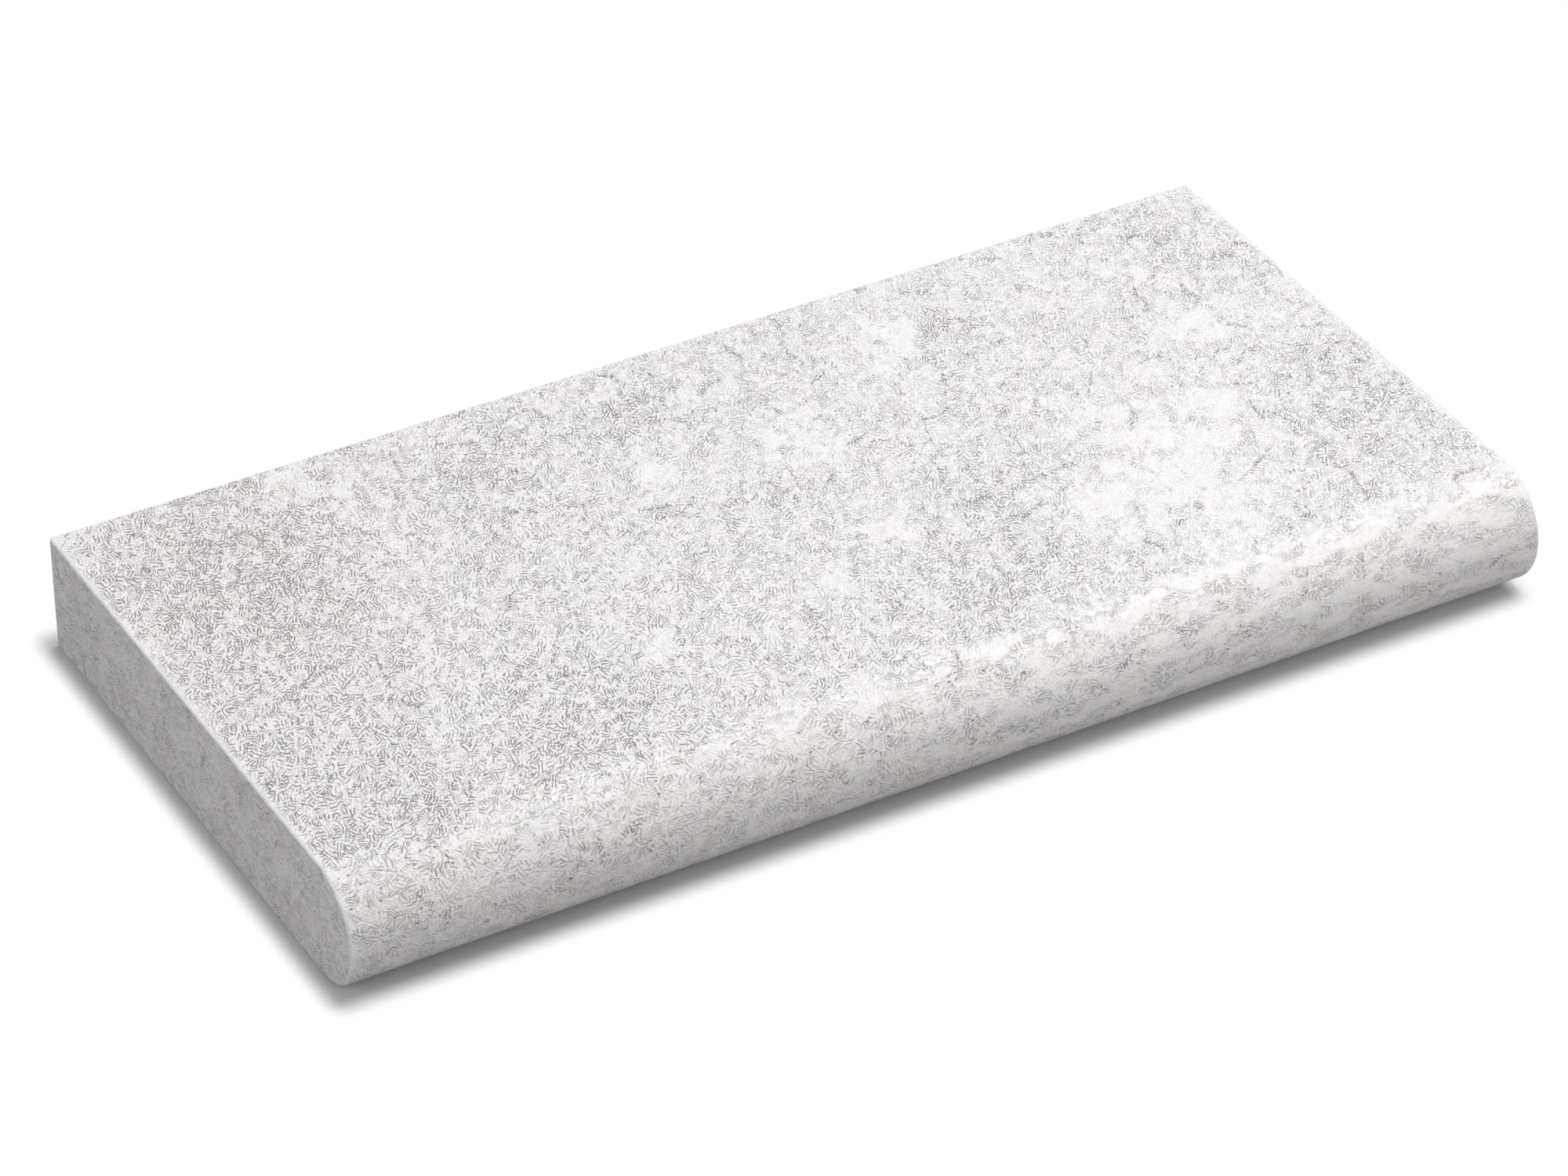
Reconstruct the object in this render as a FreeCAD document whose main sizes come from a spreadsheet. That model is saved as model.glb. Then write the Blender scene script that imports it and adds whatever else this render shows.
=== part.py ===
import FreeCAD, Part
import os

import Sketcher

# Bullnose tile: one solid slab with a full half-round nose along one long edge.
# Frame in millimetres: X along the nose, the nose towards -Y, Z up from the bed,
# with the origin under the middle of the tile.

NODE = "bullnose_tile"

# Driving sizes: cell name, size in millimetres, what it measures
DRIVING_SIZES = (
    ("tile_length", "600", "between the two ends, along the nose"),
    ("tile_width", "300", "from the back face to the tip of the nose"),
    ("tile_thickness", "60", "from the bed to the walking face"),
    ("arris_radius", "2", "rounding of the edges round both ends and the back"),
)

# How near an edge has to lie to a face's plane to count as one of its edges
SAME_PLANE = 0.01


def make_sizes(doc):
    """The sheet of driving sizes, one named cell to a row."""
    sheet = doc.addObject("Spreadsheet::Sheet", "Sizes")
    for row, (alias, size, meaning) in enumerate(DRIVING_SIZES, start=1):
        sheet.set(f"A{row}", alias)
        sheet.set(f"B{row}", size)
        sheet.set(f"C{row}", meaning)
        sheet.setAlias(f"B{row}", alias)
    doc.recompute()
    return sheet


def origin_plane(body, role):
    """The plane of the body's own origin that has this role."""
    for feature in body.Origin.OriginFeatures:
        if feature.Role == role:
            return feature
    raise ValueError(f"{body.Label} has no {role}")


def bind(sketch, constraint, name, expression):
    """Add a named dimension to the sketch and tie it to the sheet."""
    index = sketch.addConstraint(constraint)
    sketch.renameConstraint(index, name)
    sketch.setExpression(f"Constraints.{name}", expression)


def draw_section(body, sheet):
    """The tile's section across the nose: flat bed, back and top, closed by a half-round."""
    sketch = body.newObject("Sketcher::SketchObject", "Section")
    sketch.AttachmentSupport = (origin_plane(body, "YZ_Plane"), [""])
    sketch.MapMode = "FlatFace"

    back_at = sheet.tile_width / 2
    top_at = sheet.tile_thickness
    nose_radius = sheet.tile_thickness / 2
    nose_at = nose_radius - back_at

    def point(across, height):
        return FreeCAD.Vector(across, height, 0)

    bed = sketch.addGeometry(Part.LineSegment(point(nose_at, 0), point(back_at, 0)))
    back = sketch.addGeometry(Part.LineSegment(point(back_at, 0), point(back_at, top_at)))
    top = sketch.addGeometry(Part.LineSegment(point(back_at, top_at), point(nose_at, top_at)))
    half_round = Part.Arc(point(nose_at, top_at), point(-back_at, nose_radius), point(nose_at, 0))
    nose = sketch.addGeometry(half_round)

    # Places on an edge of the sketch, and the sketch's own origin and level axis
    start, end, centre = 1, 2, 3
    origin, across_axis = -1, -1
    sketch.addConstraint(
        [
            Sketcher.Constraint("Horizontal", bed),
            Sketcher.Constraint("Vertical", back),
            Sketcher.Constraint("Horizontal", top),
            Sketcher.Constraint("Coincident", bed, end, back, start),
            Sketcher.Constraint("Coincident", back, end, top, start),
            Sketcher.Constraint("Tangent", top, end, nose, start),
            Sketcher.Constraint("Tangent", nose, end, bed, start),
            Sketcher.Constraint("PointOnObject", bed, end, across_axis),
        ]
    )
    bind(
        sketch,
        Sketcher.Constraint("DistanceY", back, start, back, end, top_at),
        "thickness",
        "Sizes.tile_thickness",
    )
    bind(
        sketch,
        Sketcher.Constraint("DistanceX", origin, start, back, start, back_at),
        "back_from_middle",
        "Sizes.tile_width / 2",
    )
    bind(
        sketch,
        Sketcher.Constraint("DistanceX", nose, centre, back, start, back_at - nose_at),
        "back_from_nose_centre",
        "Sizes.tile_width - Sizes.tile_thickness / 2",
    )
    return sketch


def arris_edges(shape):
    """Names of the edges round the two end faces and the back face."""
    back_plane = max(vertex.Y for vertex in shape.Vertexes)
    names = []
    for number, edge in enumerate(shape.Edges, start=1):
        on_an_end = edge.BoundBox.XLength < SAME_PLANE
        on_the_back = edge.BoundBox.YMin > back_plane - SAME_PLANE
        if on_an_end or on_the_back:
            names.append(f"Edge{number}")
    return names


def make_tile(doc, sheet):
    """The tile: its section run along the nose, with its square edges rounded to an arris."""
    body = doc.addObject("PartDesign::Body", "Tile")
    body.Label = NODE
    body.Placement = FreeCAD.Placement()
    section = draw_section(body, sheet)
    doc.recompute()

    slab = body.newObject("PartDesign::Pad", "Slab")
    slab.Profile = section
    slab.SideType = "Symmetric"
    slab.setExpression("Length", "Sizes.tile_length")
    doc.recompute()

    arris = body.newObject("PartDesign::Fillet", "Arris")
    arris.Base = (slab, arris_edges(slab.Shape))
    arris.setExpression("Radius", "Sizes.arris_radius")
    body.Tip = arris
    doc.recompute()
    return body


def check(doc, body):
    """Stop if any step of the model failed or the solid is not sound."""
    for item in doc.Objects:
        failed = {"Invalid", "Error"}.intersection(item.State)
        if failed:
            raise RuntimeError(f"{item.Label} failed: {sorted(failed)}")
    shape = body.Shape
    if shape.isNull() or not shape.isValid() or len(shape.Solids) != 1:
        raise RuntimeError(f"{body.Label} is not one sound solid")


def main():
    """Build the tile, check it and write its solid."""
    doc = FreeCAD.newDocument("BullnoseTile")
    sheet = make_sizes(doc)
    tile = make_tile(doc, sheet)
    check(doc, tile)
    os.makedirs("parts", exist_ok=True)
    tile.Shape.exportStep(f"parts/{tile.Label}.step")
    box = tile.Shape.optimalBoundingBox()
    print(f"{tile.Label}: {box.XLength:.2f} x {box.YLength:.2f} x {box.ZLength:.2f} mm")
    print(f"lowest corner {box.XMin:.2f}, {box.YMin:.2f}, {box.ZMin:.2f}")
    print(f"volume {tile.Shape.Volume / 1000:.1f} cubic centimetres, {len(tile.Shape.Faces)} faces")


main()
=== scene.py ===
"""Looks of the bullnose tile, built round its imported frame, in metres."""

import logging
import math
from dataclasses import dataclass, field
from enum import Enum
from typing import Dict, NamedTuple, Optional, Tuple, Union

import bpy
from bpy.types import Material, Node, NodeSocket as Socket, NodeTree, Object, World
from mathutils import Matrix, Vector


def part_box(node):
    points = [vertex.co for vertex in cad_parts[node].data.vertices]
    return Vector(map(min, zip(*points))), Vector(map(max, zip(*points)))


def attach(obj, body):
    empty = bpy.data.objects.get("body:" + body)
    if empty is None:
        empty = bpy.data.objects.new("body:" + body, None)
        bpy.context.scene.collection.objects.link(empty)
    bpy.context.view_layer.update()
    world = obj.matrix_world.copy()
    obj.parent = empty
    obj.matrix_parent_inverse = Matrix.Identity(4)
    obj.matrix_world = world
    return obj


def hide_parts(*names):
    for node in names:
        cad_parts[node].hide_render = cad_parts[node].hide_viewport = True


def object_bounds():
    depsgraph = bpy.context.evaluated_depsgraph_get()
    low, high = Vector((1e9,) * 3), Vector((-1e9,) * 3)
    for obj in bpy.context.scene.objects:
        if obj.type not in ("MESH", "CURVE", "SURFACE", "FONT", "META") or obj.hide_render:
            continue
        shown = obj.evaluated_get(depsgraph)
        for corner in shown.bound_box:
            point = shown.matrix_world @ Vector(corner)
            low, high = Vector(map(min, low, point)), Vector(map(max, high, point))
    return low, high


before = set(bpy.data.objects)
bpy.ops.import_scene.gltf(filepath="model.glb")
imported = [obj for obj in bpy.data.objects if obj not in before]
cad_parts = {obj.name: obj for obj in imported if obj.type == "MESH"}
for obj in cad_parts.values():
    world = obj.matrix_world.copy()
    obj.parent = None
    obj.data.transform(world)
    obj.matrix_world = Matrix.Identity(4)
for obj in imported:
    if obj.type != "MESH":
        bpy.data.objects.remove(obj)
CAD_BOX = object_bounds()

LOG = logging.getLogger("bullnose_tile")
MM = 0.001
TINY = 1e-6
WHITE = (1.0, 1.0, 1.0, 1.0)

# How far one step of a seed moves a pattern along X, Y and Z
SEED_STEP = (0.37, 0.71, 0.53)

# Noise swings by half a unit either way, and this makes it a whole one
FULL_SWING = 2.0

# On the laid-out faces, the ends and the back lie this far aside of the top, nose and bed
END_ASIDE = 2.0
BACK_ASIDE = 3.0
SIDES_START = 1.0

Feed = Union[float, int, str, tuple, Socket]
Pair = Tuple[float, float]
Triple = Tuple[float, float, float]
Ramp = Tuple[float, float, float, float]
Colour = Tuple[float, float, float, float]


class Step(Enum):
    """Arithmetic on one, two or three numbers."""

    ADD = "ADD"
    SUBTRACT = "SUBTRACT"
    MULTIPLY = "MULTIPLY"
    MULTIPLY_ADD = "MULTIPLY_ADD"
    DIVIDE = "DIVIDE"
    LARGER = "MAXIMUM"
    SMALLER = "MINIMUM"
    SIZE_OF = "ABSOLUTE"
    OVER = "GREATER_THAN"
    UNDER = "LESS_THAN"
    ANGLE_OF = "ARCTAN2"
    FOLD = "PINGPONG"


class VectorStep(Enum):
    """Arithmetic on places and directions."""

    ADD = "ADD"
    SUBTRACT = "SUBTRACT"
    MULTIPLY = "MULTIPLY"
    SCALE = "SCALE"
    NORMALIZE = "NORMALIZE"
    LENGTH = "LENGTH"
    DISTANCE = "DISTANCE"


class Run(Enum):
    """How a number runs from one end of a range to the other."""

    SOFT = "SMOOTHSTEP"
    EVEN = "LINEAR"


class Spread(Enum):
    """Whether a pattern lies on a flat face or fills space."""

    FLAT = "2D"
    SOLID = "3D"


class CellPart(Enum):
    """What is measured in a pattern of cells."""

    MIDDLE = "F1"
    EDGE = "DISTANCE_TO_EDGE"


class Mark(Enum):
    """Names of the attributes that the tile's mesh carries for its finish."""

    PLACE = "print_place"
    COVER = "print_cover"
    TURN = "nose_turn"
    ARRIS = "arris_rim"


@dataclass
class NodeBench:
    """Lays nodes in one tree and joins them up."""

    tree: NodeTree

    @classmethod
    def of(cls, owner: Union[Material, World]) -> "NodeBench":
        """Set a bench up in an emptied tree.

        Args:
            owner: the material or the surroundings that have the tree.

        Returns:
            The bench.
        """
        owner.use_nodes = True
        owner.node_tree.nodes.clear()
        return cls(owner.node_tree)

    def feed(self, socket: Socket, value: Feed) -> None:
        """Join a socket to another, or set it to a value.

        Args:
            socket: the input to fill.
            value: an output to join it to, or what to set it to.
        """
        if isinstance(value, Socket):
            self.tree.links.new(value, socket)
        else:
            socket.default_value = value

    def fill(self, node: Node, **values: Feed) -> Node:
        """Fill inputs of a node by name.

        Args:
            node: the node.
            values: what fills each input.

        Returns:
            The same node.
        """
        for name, value in values.items():
            self.feed(node.inputs[name], value)
        return node

    def add(self, kind: str, *values: Feed, **options: object) -> Node:
        """Lay one node.

        Args:
            kind: Blender's name for the kind of node.
            values: what fills its inputs, in order.
            options: settings of the node, by name.

        Returns:
            The new node.
        """
        node = self.tree.nodes.new(kind)
        for name, value in options.items():
            setattr(node, name, value)
        sockets = [socket for socket in node.inputs if socket.enabled]
        for socket, value in zip(sockets, values):
            self.feed(socket, value)
        return node

    def result(self, node: Node) -> Socket:
        """Find the first output that the node's settings leave in use."""
        return next(socket for socket in node.outputs if socket.enabled)

    def math(self, step: Step, *values: Feed) -> Socket:
        """Work out one number from others, given in order."""
        return self.add("ShaderNodeMath", *values, operation=step.value).outputs[0]

    def chain(self, step: Step, first: Feed, *others: Feed) -> Feed:
        """Work numbers into one, two at a time.

        Args:
            step: what to do with each two.
            first: the number to start from.
            others: the numbers that follow, in order.

        Returns:
            The one number.
        """
        for other in others:
            first = self.math(step, first, other)
        return first

    def times(self, *numbers: Feed) -> Feed:
        """Multiply numbers with each other."""
        return self.chain(Step.MULTIPLY, *numbers)

    def largest(self, *numbers: Feed) -> Feed:
        """Find the largest of some numbers."""
        return self.chain(Step.LARGER, *numbers)

    def vector(self, step: VectorStep, *values: Feed) -> Socket:
        """Work out a place, a direction or a length; SCALE takes a place and a number."""
        return self.result(self.add("ShaderNodeVectorMath", *values, operation=step.value))

    def split(self, place: Socket) -> Tuple[Socket, Socket, Socket]:
        """Take a place apart into its three numbers."""
        return tuple(self.add("ShaderNodeSeparateXYZ", place).outputs)

    def join(self, *numbers: Feed) -> Socket:
        """Make a place from up to three numbers; those left out are 0."""
        return self.add("ShaderNodeCombineXYZ", *numbers).outputs[0]

    def span(self, value: Feed, low: Feed, high: Feed, start: Feed = 0.0, stop: Feed = 1.0,
             run: Run = Run.SOFT) -> Socket:
        """Move a number from one range to another, held at both ends.

        Args:
            value: the number.
            low: where the first range starts.
            high: where it ends.
            start: what low becomes.
            stop: what high becomes.
            run: how it runs between them.

        Returns:
            The moved number.
        """
        ends = (low, high, start, stop)
        node = self.add("ShaderNodeMapRange", value, *ends, interpolation_type=run.value, clamp=True)
        return node.outputs[0]

    def between(self, share: Feed, start: Feed, stop: Feed) -> Socket:
        """Run softly from one number, at a share of 0, to another, at 1."""
        return self.span(share, 0.0, 1.0, start, stop)

    def blend(self, share: Feed, first: Feed, second: Feed) -> Socket:
        """Mix two colours, from the first at a share of 0 to the second at 1."""
        return self.result(self.add("ShaderNodeMix", share, first, second, data_type="RGBA"))

    def choose(self, share: Feed, first: Feed, second: Feed) -> Socket:
        """Mix two places, from the first at a share of 0 to the second at 1."""
        return self.result(self.add("ShaderNodeMix", share, first, second, data_type="VECTOR"))

    def turned(self, place: Socket, angle: Feed) -> Socket:
        """Turn a place round the origin of its face."""
        node = self.add("ShaderNodeVectorRotate", rotation_type="Z_AXIS")
        return self.fill(node, Vector=place, Angle=angle).outputs[0]

    def squeezed(self, place: Socket, along: float, across: float = 1.0) -> Socket:
        """Squeeze a place, so that what is drawn there comes out drawn out."""
        return self.vector(VectorStep.MULTIPLY, place, (along, across, 1.0))

    def seeded(self, place: Socket, seed: float) -> Socket:
        """Shift a place by a seed, so that what is drawn there is a draw of its own."""
        return self.vector(VectorStep.ADD, place, tuple(seed * share for share in SEED_STEP))

    def noise(self, place: Socket, size: float, seed: float, detail: float = 0.0,
              roughness: float = 0.5, spread: Spread = Spread.FLAT) -> Node:
        """Soft random lumps.

        Args:
            place: where they are read.
            size: how wide a lump is, in metres.
            seed: which lumps they are.
            detail: how many finer layers lie on them.
            roughness: how strong each finer layer is.
            spread: whether they lie on a flat face or fill space.

        Returns:
            The noise node; its first output is around 0.5.
        """
        node = self.add("ShaderNodeTexNoise", noise_dimensions=spread.value)
        drawn_at = self.seeded(place, seed)
        return self.fill(node, Vector=drawn_at, Scale=1.0 / size, Detail=detail, Roughness=roughness)

    def cells(self, place: Socket, size: float, part: CellPart) -> Node:
        """Lay a flat pattern of random cells of about the given size."""
        node = self.add("ShaderNodeTexVoronoi", voronoi_dimensions="2D", feature=part.value)
        return self.fill(node, Vector=place, Scale=1.0 / size)

    def stirred(self, place: Socket, size: float, reach: float, seed: float) -> Socket:
        """Push a place about, so that what is drawn on it wanders.

        Args:
            place: the place.
            size: how wide one push is, in metres.
            reach: how far it pushes, in metres.
            seed: which pushes they are.

        Returns:
            The pushed place.
        """
        lumps = self.noise(place, size, seed)
        push = self.vector(VectorStep.SUBTRACT, lumps.outputs["Color"], (0.5, 0.5, 0.5))
        return self.vector(VectorStep.ADD, place, self.vector(VectorStep.SCALE, push, reach))


@dataclass(frozen=True)
class TileSizes:
    """The tile's own sizes, in metres."""

    length: float
    width: float
    thickness: float
    arris_radius: float

    @classmethod
    def of_node(cls, node: str, arris_radius: float) -> "TileSizes":
        """Read the sizes from a CAD node; the rounding of its edges is given."""
        low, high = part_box(node)
        return cls(high.x - low.x, high.y - low.y, high.z - low.z, arris_radius)

    @property
    def nose_ahead(self) -> float:
        """How far the half-round's middle lies ahead of the tile's middle."""
        return (self.width - self.thickness) / 2


@dataclass(frozen=True)
class Relief:
    """Slight unevenness that firing leaves in the faces, in metres."""

    swell_height: float = 0.12 * MM
    swell_size: float = 45 * MM
    ripple_height: float = 0.05 * MM
    ripple_size: float = 13 * MM
    bed_fade: float = 8 * MM
    end_share: float = 0.4
    seed: int = 3


@dataclass(frozen=True)
class TileRows:
    """How many rows of faces the tile's mesh has."""

    along: int = 250
    across: int = 126
    high: int = 30
    on_arris: int = 4


@dataclass(frozen=True)
class PrintEdges:
    """Where the print stops and the painted pale highlight along the arrises lies, by how far a face turns
    away.
    """

    side_fade: Pair = (0.25, 0.85)
    bed_fade: Pair = (0.84, 0.97)
    rim_highlight_rise: Pair = (0.05, 0.35)
    rim_highlight_fall: Pair = (0.85, 0.995)


@dataclass
class TileForm:
    """The Geometry Nodes tree that shapes a bullnose tile from its sizes."""

    sizes: TileSizes
    rows: TileRows = field(default_factory=TileRows)
    relief: Relief = field(default_factory=Relief)
    edges: PrintEdges = field(default_factory=PrintEdges)
    bench: NodeBench = field(init=False)
    given: "bpy.types.NodeOutputs" = field(init=False)
    radius: Socket = field(init=False)
    nose_at: Socket = field(init=False)

    def sized_inputs(self, finish: Material) -> Dict[str, Tuple[str, object]]:
        """List the tree's inputs.

        Args:
            finish: the material that the tile wears.

        Returns:
            For each input's name, its kind of socket and its value.
        """
        length, whole = "NodeSocketFloat", "NodeSocketInt"
        return {
            "Length": (length, self.sizes.length),
            "Width": (length, self.sizes.width),
            "Thickness": (length, self.sizes.thickness),
            "Arris Radius": (length, self.sizes.arris_radius),
            "Rows Along": (whole, self.rows.along),
            "Rows Across": (whole, self.rows.across),
            "Rows High": (whole, self.rows.high),
            "Arris Rows": (whole, self.rows.on_arris),
            "Swell Height": (length, self.relief.swell_height),
            "Ripple Height": (length, self.relief.ripple_height),
            "Seed": (whole, self.relief.seed),
            "Finish": ("NodeSocketMaterial", finish),
        }

    def grow(self, name: str, finish: Material) -> Object:
        """Run the tree and keep its result as a plain mesh.

        Args:
            name: the new object's name.
            finish: the material that the tile wears.

        Returns:
            The object, at the origin, with no modifier.
        """
        piece = bpy.data.objects.new(name, bpy.data.meshes.new(name))
        bpy.context.scene.collection.objects.link(piece)
        tree = bpy.data.node_groups.new("tile_form", "GeometryNodeTree")
        inputs = self.sized_inputs(finish)
        self.lay_tree(tree, inputs)
        modifier = piece.modifiers.new("tile_form", "NODES")
        modifier.node_group = tree
        for socket in tree.interface.items_tree:
            if socket.in_out == "INPUT":
                modifier[socket.identifier] = inputs[socket.name][1]
        depsgraph = bpy.context.evaluated_depsgraph_get()
        shaped = piece.evaluated_get(depsgraph)
        mesh = bpy.data.meshes.new_from_object(shaped, preserve_all_data_layers=True, depsgraph=depsgraph)
        piece.modifiers.remove(modifier)
        mesh.materials.clear()
        mesh.materials.append(finish)
        mesh.name = name
        piece.data = mesh
        return piece

    def lay_tree(self, tree: NodeTree, inputs: Dict[str, Tuple[str, object]]) -> None:
        """Lay the whole tree.

        Args:
            tree: an empty Geometry Nodes tree.
            inputs: its inputs, as sized_inputs lists them.
        """
        tree.interface.new_socket("Tile", in_out="OUTPUT", socket_type="NodeSocketGeometry")
        for name, (kind, _) in inputs.items():
            tree.interface.new_socket(name, in_out="INPUT", socket_type=kind)
        bench = NodeBench(tree)
        self.bench = bench
        self.given = bench.add("NodeGroupInput").outputs
        self.radius = bench.times(self.given["Thickness"], 0.5)
        self.nose_at = bench.math(Step.MULTIPLY_ADD, self.given["Width"], -0.5, self.radius)

        block, side = self.block()
        section = self.section()
        core, outward = self.rounded(section)
        out_by = bench.math(Step.ADD, self.given["Arris Radius"], self.unevenness(core, outward))
        skin = bench.vector(VectorStep.ADD, core, bench.vector(VectorStep.SCALE, outward, out_by))
        place = bench.vector(VectorStep.ADD, skin, bench.join(0.0, 0.0, self.radius))

        captured = bench.add("GeometryNodeCaptureAttribute", domain="POINT")
        for name in ("Section", "Outward"):
            captured.capture_items.new("VECTOR", name)
        bench.fill(captured, Geometry=block, Section=section, Outward=outward)
        moved = bench.add("GeometryNodeSetPosition", captured.outputs["Geometry"])
        bench.fill(moved, Position=place)

        shape = self.marked(moved.outputs[0], side, captured)
        smooth = bench.add("GeometryNodeSetShadeSmooth", shape)
        whole = bench.add("GeometryNodeRealizeInstances", smooth.outputs[0])
        dressed = bench.add("GeometryNodeSetMaterial", whole.outputs[0])
        bench.fill(dressed, Material=self.given["Finish"])
        bench.add("NodeGroupOutput", dressed.outputs[0])

    def block(self) -> Tuple[Socket, Socket]:
        """Lay the block of rows that the tile is shaped from.

        Returns:
            The block, one unit on a side, and the direction that each of its faces looks in.
        """
        bench = self.bench
        cube = bench.add("GeometryNodeMeshCube")
        for axis, rows in (("X", "Rows Along"), ("Y", "Rows Across"), ("Z", "Rows High")):
            corners = bench.math(Step.ADD, self.given[rows], 1.0)
            bench.feed(cube.inputs[f"Vertices {axis}"], corners)
        looks = bench.add("GeometryNodeCaptureAttribute", domain="FACE")
        looks.capture_items.new("VECTOR", "Side")
        normal = bench.add("GeometryNodeInputNormal").outputs[0]
        bench.fill(looks, Geometry=cube.outputs["Mesh"], Side=normal)
        return looks.outputs["Geometry"], looks.outputs["Side"]

    def gathered(self, share: Socket, rows_over: Socket, span: Socket, both: bool) -> Socket:
        """Spread rows over a length, gathered where an arris is.

        Args:
            share: how far along the rows, from 0 to 1.
            rows_over: the share of the rows that lie on one arris.
            span: the whole length, in metres.
            both: whether both ends have an arris, or the far one alone.

        Returns:
            The distance from the middle, in metres.
        """
        bench, reach = self.bench, self.given["Arris Radius"]
        far = bench.math(Step.SUBTRACT, 1.0, rows_over)
        near = rows_over if both else 0.0
        plain = bench.math(Step.MULTIPLY_ADD, reach, -2.0 if both else -1.0, span)
        place = bench.span(share, near, far, 0.0, plain, Run.EVEN)
        place = bench.math(Step.ADD, place, bench.span(share, far, 1.0, 0.0, reach, Run.EVEN))
        if both:
            place = bench.math(Step.ADD, place, bench.span(share, 0.0, near, 0.0, reach, Run.EVEN))
        return bench.math(Step.MULTIPLY_ADD, span, -0.5, place)

    def section(self) -> Socket:
        """Lay the rows out at full size and bend the front of the block to a half-round.

        Returns:
            Each corner's place: X along the tile, Y ahead of (below 0) or behind the nose's
            middle, Z from the middle of the thickness.
        """
        bench, given = self.bench, self.given
        position = bench.add("GeometryNodeInputPosition").outputs[0]
        shares = bench.split(bench.vector(VectorStep.ADD, position, (0.5, 0.5, 0.5)))
        places = []
        for share, rows, span, both in zip(
            shares,
            ("Rows Along", "Rows Across", "Rows High"),
            ("Length", "Width", "Thickness"),
            (True, False, True),
        ):
            rows_over = bench.math(Step.DIVIDE, given["Arris Rows"], given[rows])
            places.append(self.gathered(share, rows_over, given[span], both))
        along, across, up = places

        # The front square of the section is drawn in to a half-disc, ring by ring
        behind = bench.math(Step.SUBTRACT, across, self.nose_at)
        ahead = bench.math(Step.SMALLER, behind, 0.0)
        ring = bench.largest(bench.math(Step.SIZE_OF, ahead), bench.math(Step.SIZE_OF, up))
        spread = bench.vector(VectorStep.LENGTH, bench.join(0.0, ahead, up))
        drawn_in = bench.math(Step.DIVIDE, ring, bench.largest(spread, TINY))
        bent = bench.math(Step.MULTIPLY_ADD, ahead, drawn_in, bench.largest(behind, 0.0))
        return bench.join(along, bent, bench.times(up, drawn_in))

    def rounded(self, section: Socket) -> Tuple[Socket, Socket]:
        """Find the tile's core, one arris radius inside its faces.

        Args:
            section: each corner's place in the section.

        Returns:
            The nearest place of the core, and the direction outwards from it.
        """
        bench, given = self.bench, self.given
        along, across, up = bench.split(section)
        inset = bench.times(given["Arris Radius"], -1.0)
        half_length, half_width, inner = (
            bench.math(Step.MULTIPLY_ADD, given[size], 0.5, inset)
            for size in ("Length", "Width", "Thickness")
        )
        core_along = bench.math(Step.SMALLER, along, half_length)
        core_along = bench.largest(core_along, bench.times(half_length, -1.0))

        ahead = bench.math(Step.SMALLER, across, 0.0)
        ring = bench.vector(VectorStep.LENGTH, bench.join(0.0, ahead, up))
        shrink = bench.math(Step.DIVIDE, bench.math(Step.SMALLER, ring, inner), bench.largest(ring, TINY))
        back = bench.math(Step.SUBTRACT, half_width, self.nose_at)
        flat = bench.math(Step.SMALLER, bench.largest(across, 0.0), back)
        core_across = bench.math(Step.MULTIPLY_ADD, ahead, shrink, flat)
        core_across = bench.math(Step.ADD, core_across, self.nose_at)
        core = bench.join(core_along, core_across, bench.times(up, shrink))

        full = bench.vector(VectorStep.ADD, section, bench.join(0.0, self.nose_at, 0.0))
        outward = bench.vector(VectorStep.NORMALIZE, bench.vector(VectorStep.SUBTRACT, full, core))
        return core, outward

    def unevenness(self, core: Socket, outward: Socket) -> Socket:
        """How far each corner stands proud of the true form or short of it.

        Args:
            core: the nearest place of the core.
            outward: the direction outwards.

        Returns:
            The height, in metres.
        """
        bench, given, relief = self.bench, self.given, self.relief
        aside = bench.vector(VectorStep.SCALE, bench.join(1.0, 1.0, 1.0), given["Seed"])
        place = bench.vector(VectorStep.ADD, core, aside)
        height: Feed = 0.0
        waves = ((relief.swell_size, "Swell Height"), (relief.ripple_size, "Ripple Height"))
        for seed, (size, reach) in enumerate(waves, start=1):
            lumps = bench.noise(place, size, seed, detail=1.0, spread=Spread.SOLID).outputs[0]
            swing = bench.math(Step.SUBTRACT, lumps, 0.5)
            height = bench.math(Step.MULTIPLY_ADD, swing, given[reach], height)
        over_bed = bench.math(Step.MULTIPLY_ADD, given["Thickness"], 0.5, bench.split(core)[2])
        off_bed = bench.span(over_bed, given["Arris Radius"], relief.bed_fade)
        endways = bench.math(Step.SIZE_OF, bench.split(outward)[0])
        return bench.times(height, off_bed, bench.between(endways, 1.0, relief.end_share), FULL_SWING)

    def marked(self, shape: Socket, side: Socket, captured: Node) -> Socket:
        """Store what the finish reads: the print's place and cover, the nose's turn and the arris rim,
        where the finish paints a highlight.

        Args:
            shape: the shaped tile.
            side: the direction that each face of the block looks in.
            captured: the node that keeps each corner's section place and outward direction.

        Returns:
            The tile with its attributes.
        """
        bench, edges = self.bench, self.edges
        along, across, up = bench.split(captured.outputs["Section"])
        out_along, out_across, _ = bench.split(captured.outputs["Outward"])
        side_along, side_across, _ = bench.split(side)
        ahead = bench.math(Step.SMALLER, across, 0.0)
        turn = bench.math(Step.ANGLE_OF, bench.times(ahead, -1.0), up)
        half_turn = bench.math(Step.DIVIDE, turn, math.pi)
        round_nose = bench.times(turn, self.radius)
        unrolled = bench.math(Step.MULTIPLY_ADD, round_nose, -1.0, bench.largest(across, 0.0))

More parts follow.
